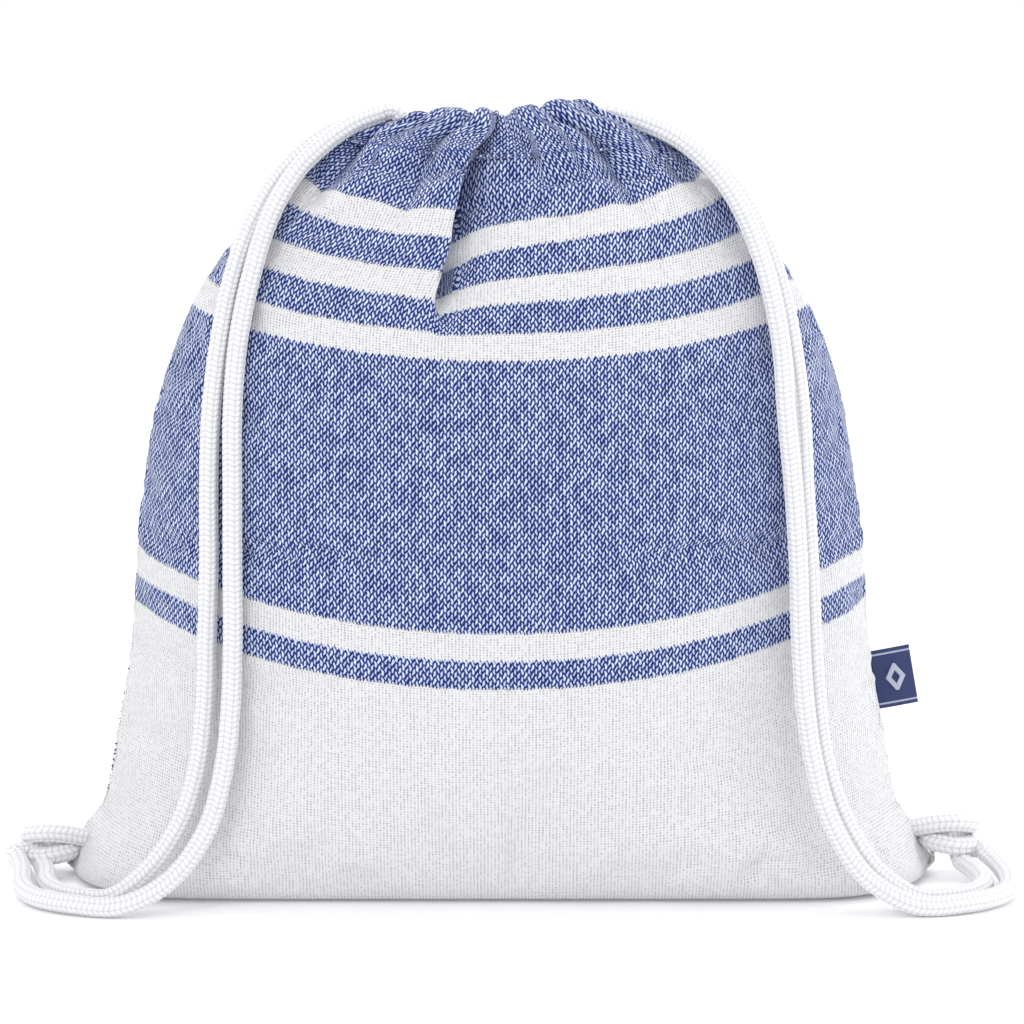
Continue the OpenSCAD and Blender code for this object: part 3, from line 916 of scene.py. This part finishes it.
def blurred(grid, width):
    """The grid averaged over width cells each way."""
    kernel = np.hanning(width + 2)[1:-1]
    kernel /= kernel.sum()
    for axis in (0, 1):
        spread = [(width // 2,) * 2 if k == axis else (0, 0) for k in range(3)]
        padded = np.pad(grid, spread, mode="edge")
        places = np.arange(grid.shape[axis])
        grid = sum(w * np.take(padded, places + k, axis=axis) for k, w in enumerate(kernel))
    return grid


def resample(moves, a, v):
    """The settled moves at a finer grid's places; nothing moves above the stitch line."""
    rows = (v[:, 0] - STITCH_V) / (PANEL_LENGTH - STITCH_V) * (SETTLE_ROWS - 1)
    columns = (a[0] + 1) / 2 * (SETTLE_COLUMNS - 1)
    low = np.clip(rows.astype(int), 0, SETTLE_ROWS - 2)
    left = np.clip(columns.astype(int), 0, SETTLE_COLUMNS - 2)
    down = smooth(0, 1, np.clip(rows - low, 0, 1))[:, None, None]
    along = smooth(0, 1, np.clip(columns - left, 0, 1))[None, :, None]
    upper = moves[low][:, left] * (1 - along) + moves[low][:, left + 1] * along
    lower = moves[low + 1][:, left] * (1 - along) + moves[low + 1][:, left + 1] * along
    return (upper * (1 - down) + lower * down) * (v >= STITCH_V)[..., None]


MOVES = settle()

for side, word, layout in ((-1, "front", FRONT), (1, "back", BACK)):
    grid = cloth_grid(side, layout, MOVES[side])
    panel = cloth_piece(f"{word}_cloth", side, slice(STITCH_ROW - TUCKED_ROWS, None), grid, TUCKED_ROWS)
    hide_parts(f"{word}_panel")
    tunnel = cloth_piece(f"{word}_gathered_casing", side, slice(0, STITCH_ROW + 1), grid)
    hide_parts(f"{word}_casing")


def on_cloth(a, v, side, layout):
    """(points, outward normals) along one row of a panel's face, with a increasing."""
    across, down = np.meshgrid(a, v + 0.8 * MM * np.array([-1, 0, 1]))
    points = panel_cloth(across, down, **layout)
    mirror = np.array([1, -side, 1])
    return points[1] * mirror, grid_frames(points)[0][1] * mirror


# ---- Thread ----

THREAD_RADIUS = 0.32 * MM
STITCH_LENGTH = 2.4 * MM
STITCH_GAP = 1.1 * MM


def thread_piece(name, paths, material, node, body="bag", radius=THREAD_RADIUS, sides=8, relief=None):
    """Many short threads, or a few stretches of cord, as one piece."""
    all_points, all_faces, all_uv, first = [], [], [], 0
    for path in paths:
        points, faces, uv = tube(path, radius, sides, relief)
        all_points.append(points)
        all_uv.append(uv)
        all_faces += [tuple(first + k for k in face) for face in faces]
        first += len(points)
    made = new_mesh(name, np.vstack(all_points), all_faces, material, body, np.vstack(all_uv))
    if node:
        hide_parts(node)
    return made


def stitch_row(name, node, side, layout):
    """Running stitches along the casing's lower edge, each dipping into the cloth at its ends."""
    a = np.linspace(-0.97, 0.97, 500)
    points, normals = on_cloth(a, STITCH_V - 1.5 * MM, side, layout)
    gone = np.concatenate([[0], np.cumsum(np.linalg.norm(np.diff(points, axis=0), axis=1))])
    paths = []
    for start in np.arange(0, gone[-1] - STITCH_LENGTH, STITCH_LENGTH + STITCH_GAP):
        at = start + STITCH_LENGTH * np.linspace(0, 1, 7)
        place = np.stack([np.interp(at, gone, points[:, k]) for k in range(3)], axis=1)
        out = np.stack([np.interp(at, gone, normals[:, k]) for k in range(3)], axis=1)
        rise = (0.35 * np.sin(math.pi * np.linspace(0, 1, 7)) - 0.2)[:, None] * MM
        paths.append(place + out * rise)
    thread_piece(name, paths, THREAD_BLUE, node)


stitch_row("front_casing_thread", "front_casing_stitching", -1, FRONT)
stitch_row("back_casing_thread", "back_casing_stitching", 1, BACK)


def bartack(name, node, side):
    """Close bars of thread where the side seam stops below the cords."""
    low, step, bars, half_length, bow = 304.5 * MM, 0.75 * MM, 7, 3.2 * MM, 0.9 * MM
    wave = np.linspace(-1, 1, 7)
    paths = []
    for k in range(bars):
        z = low + step * k
        x = float(np.interp(z, STATIONS[:, 0], STATIONS[:, 1])) - 0.4 * MM
        out = side * (x + bow * (1 - wave**2))
        paths.append(np.stack([out, half_length * wave, z + 0 * wave], axis=1))
    thread_piece(name, paths, THREAD_WHITE, node)


bartack("left_slit_bartack", "left_casing_bartack", -1)
bartack("right_slit_bartack", "right_casing_bartack", 1)


def seam_threads(name, side, shows):
    """Loops of dark overlock thread that show here and there along a side seam: (from, to, apart) in mm."""
    rng = np.random.default_rng(11 + side)
    paths = []
    heights = np.concatenate([np.arange(*span) for span in shows])
    for z in heights + rng.uniform(-0.6, 0.6, len(heights)):
        v = np.interp(-z * MM, -PROFILE[:, 0], PROFILE_V)
        x = np.interp(v, PROFILE_V, PROFILE[:, 1])
        wave = np.linspace(-1, 1, 9)
        lean = rng.uniform(-0.8, 0.8)
        out = (0.35 - 0.9 * wave**2) * MM
        paths.append(np.stack([side * (x + out), 1.9 * MM * wave, (z + lean * wave) * MM], axis=1))
    thread_piece(name, paths, THREAD_NAVY, None, radius=0.28 * MM)


seam_threads("left_seam_thread", -1, ((36, 56, 2.1), (66, 110, 3.7), (118, 130, 2.6)))
seam_threads("right_seam_thread", 1, ((40, 46, 2.2),))

# ---- Corners ----


# The knot, as out, back and up in mm: out of the cloth, round an upper bight, then round a lower one
KNOT_ROUTE = [
    (172, -4, 15), (180, -8, 17.5), (187, -10, 19), (194, -9.5, 19), (199, -5.5, 17.5), (199.5, 1.5, 15.5),
    (194, 6, 14), (186, 5.5, 13), (181, 0, 12), (182, -7, 10.8), (187.5, -11, 10), (193.5, -11.5, 9.2),
    (198.5, -7.5, 8.8), (198, 0, 8.8), (192, 3.5, 9),
]
RIGHT_KNOT_RISE = 4.5


def cord_paths(routes):
    """Each route, in mm, as a line of evenly spaced points in metres."""
    return [cord_path(np.array(route) * MM) for route in routes]


def knot(name, node, side, rise):
    """A drawcord's two ends knotted outside the corner, where they come through the cloth."""
    wound = [(side * x, y, z + rise) for x, y, z in KNOT_ROUTE]
    thread_piece(name, cord_paths([wound]), CORD, node, radius=CORD_RADIUS, sides=CORD_SIDES,
                 relief=cord_relief)


def tied_ends(name, side, body, routes):
    """A strap's two cords from the knot's edge to its heart, on the line that the strap swings about."""
    heart = KNOT_POINT / MM * np.array([side, 1, 1])
    paths = []
    for route in routes:
        before, end = np.array(route[-2:])
        onward = end + 2 * unit(end - before)
        paths.append([end - unit(end - before), onward, 0.45 * onward + 0.55 * heart, heart])
    thread_piece(name, cord_paths(paths), CORD, None, body, CORD_RADIUS, CORD_SIDES,
                 cord_relief)


knot("left_corner_wound_knot", "left_knot", -1, 0)
knot("right_corner_wound_knot", "right_knot", 1, RIGHT_KNOT_RISE)
tied_ends("left_strap_tied_ends", -1, "left_strap", (LEFT_FRONT_ROUTE, LEFT_REAR_ROUTE))
tied_ends("right_strap_tied_ends", 1, "right_strap", (RIGHT_FRONT_ROUTE, RIGHT_REAR_ROUTE))


def eyelet(name, node, side):
    """A buttonhole ring: thread wound closely round a small hole."""
    windings = 26
    t = np.linspace(0, 2 * math.pi, windings * 12 + 1)
    ring, thick = 3.8 * MM, 0.6 * MM
    out = ring + thick * np.cos(windings * t)
    proud = TIP + 0.9 * MM + thick * np.sin(windings * t)
    path = np.stack([side * proud, out * np.cos(t), CORNER_Z + out * np.sin(t)], axis=1)
    thread_piece(name, [path], THREAD_WHITE, node, radius=0.3 * MM)


eyelet("left_corner_buttonhole", "left_corner_eyelet", -1)
eyelet("right_corner_buttonhole", "right_corner_eyelet", 1)

# ---- Label ----

LABEL_REACH = 16 * MM
LABEL_LENGTH = 25 * MM
LABEL_LOW = -1.2 * MM
TAPE_THICKNESS = 0.25 * MM


def label_place(out, face, up):
    """A point of the label from its own three directions: out of the seam, towards the back, and up."""
    c, s = math.cos(LABEL_LEAN), math.sin(LABEL_LEAN)
    x, y, z = LABEL_POINT
    return np.stack([x + out * c - up * s, y + face, z + out * s + up * c], axis=-1)


def label_bow(out, up):
    """The slight curve of the tape, towards the back at its free corners."""
    return 0.9 * MM * (out / LABEL_REACH) ** 2 + 0.25 * MM * np.sin(up / (5 * MM)) * (out / LABEL_REACH)


def folded_label():
    """Tape folded in half: front leaf, round fold at its free edge, and back leaf."""
    fold = 0.42 * MM
    steps = 18
    leaf = np.linspace(LABEL_LOW, LABEL_REACH - fold, steps)
    bend = np.linspace(-math.pi / 2, math.pi / 2, 8)[1:-1]
    out = np.concatenate([leaf, LABEL_REACH - fold + fold * np.cos(bend), leaf[::-1]])
    face = np.concatenate([np.full(steps, -fold), fold * np.sin(bend), np.full(steps, fold)])
    up = np.linspace(-LABEL_LENGTH / 2, LABEL_LENGTH / 2, 30)
    out_grid, up_grid = np.meshgrid(out, up)
    face_grid = np.meshgrid(face, up)[0] + label_bow(out_grid, up_grid)
    points = label_place(out_grid, face_grid, up_grid)
    across = np.concatenate([[0], np.cumsum(np.hypot(np.diff(out), np.diff(face)))])
    uv = np.stack([np.meshgrid(across, up)[0], up_grid], axis=-1).reshape(-1, 2)
    faces = grid_faces(*out_grid.shape, flip=True)
    made = new_mesh("folded_side_label", points.reshape(-1, 3), faces, LABEL, "label", uv)
    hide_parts("side_label")
    solidify(made, TAPE_THICKNESS)


def label_lozenge():
    """A plain lozenge in raised satin stitches, each a thread across the label's front leaf."""
    paths = []
    half_up, half_out, middle = 6.5 * MM, 4.2 * MM, 8.2 * MM
    for up in np.arange(-half_up, half_up + 0.1 * MM, 0.55 * MM):
        room = half_out * (1 - abs(up) / half_up)
        inner = half_out * max(0, 0.45 - abs(up) / half_up)
        for low, high in ((-room, -inner), (inner, room)):
            if high - low > 0.4 * MM:
                out = middle + np.linspace(low, high, 9)
                lift = 0.72 * MM + 0.12 * MM * np.sin(np.linspace(0, math.pi, 9))
                level = np.full(9, up)
                paths.append(label_place(out, label_bow(out, level) - lift, level))
    thread_piece("label_lozenge", paths, WEFT, "label_emblem", "label", 0.27 * MM)


folded_label()
label_lozenge()

# ---- Seams inside the bag, as the CAD has them ----

for node in ("left_side_seam", "right_side_seam", "bottom_seam"):
    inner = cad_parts[node]
    inner.data.materials.clear()
    inner.data.materials.append(SEAM)

# ---- Studio ----


def add_floor():
    half = 60.0
    corners = [(-half, -half, 0), (half, -half, 0), (half, half, 0), (-half, half, 0)]
    made = new_mesh("floor", corners, [(0, 1, 2, 3)], studio_floor(), None)
    made.location.z = -0.3 * MM


def add_light(name, place, size, power, target=(0, 0, 0.15)):
    data = bpy.data.lights.new(name, "AREA")
    data.shape = "RECTANGLE"
    data.size, data.size_y = size
    data.energy = power
    made = bpy.data.objects.new(name, data)
    made.location = place
    x, y, z = np.array(target) - np.array(place)
    made.rotation_euler = (math.atan2(math.hypot(x, y), -z), 0, math.atan2(y, x) - math.pi / 2)
    bpy.context.scene.collection.objects.link(made)


def add_world():
    world = bpy.data.worlds.new("studio")
    world.use_nodes = True
    background = world.node_tree.nodes["Background"]
    background.inputs["Color"].default_value = (1, 1, 1, 1)
    background.inputs["Strength"].default_value = 1.0
    bpy.context.scene.world = world


add_floor()
add_light("key", (-1.1, -1.7, 1.7), (1.0, 1.0), 10)
add_light("side", (1.9, 0.1, 0.6), (1.2, 1.0), 10)
add_light("top", (0.1, 0.5, 2.0), (1.4, 1.0), 10)
add_world()
bpy.context.scene.view_settings.view_transform = "Standard"
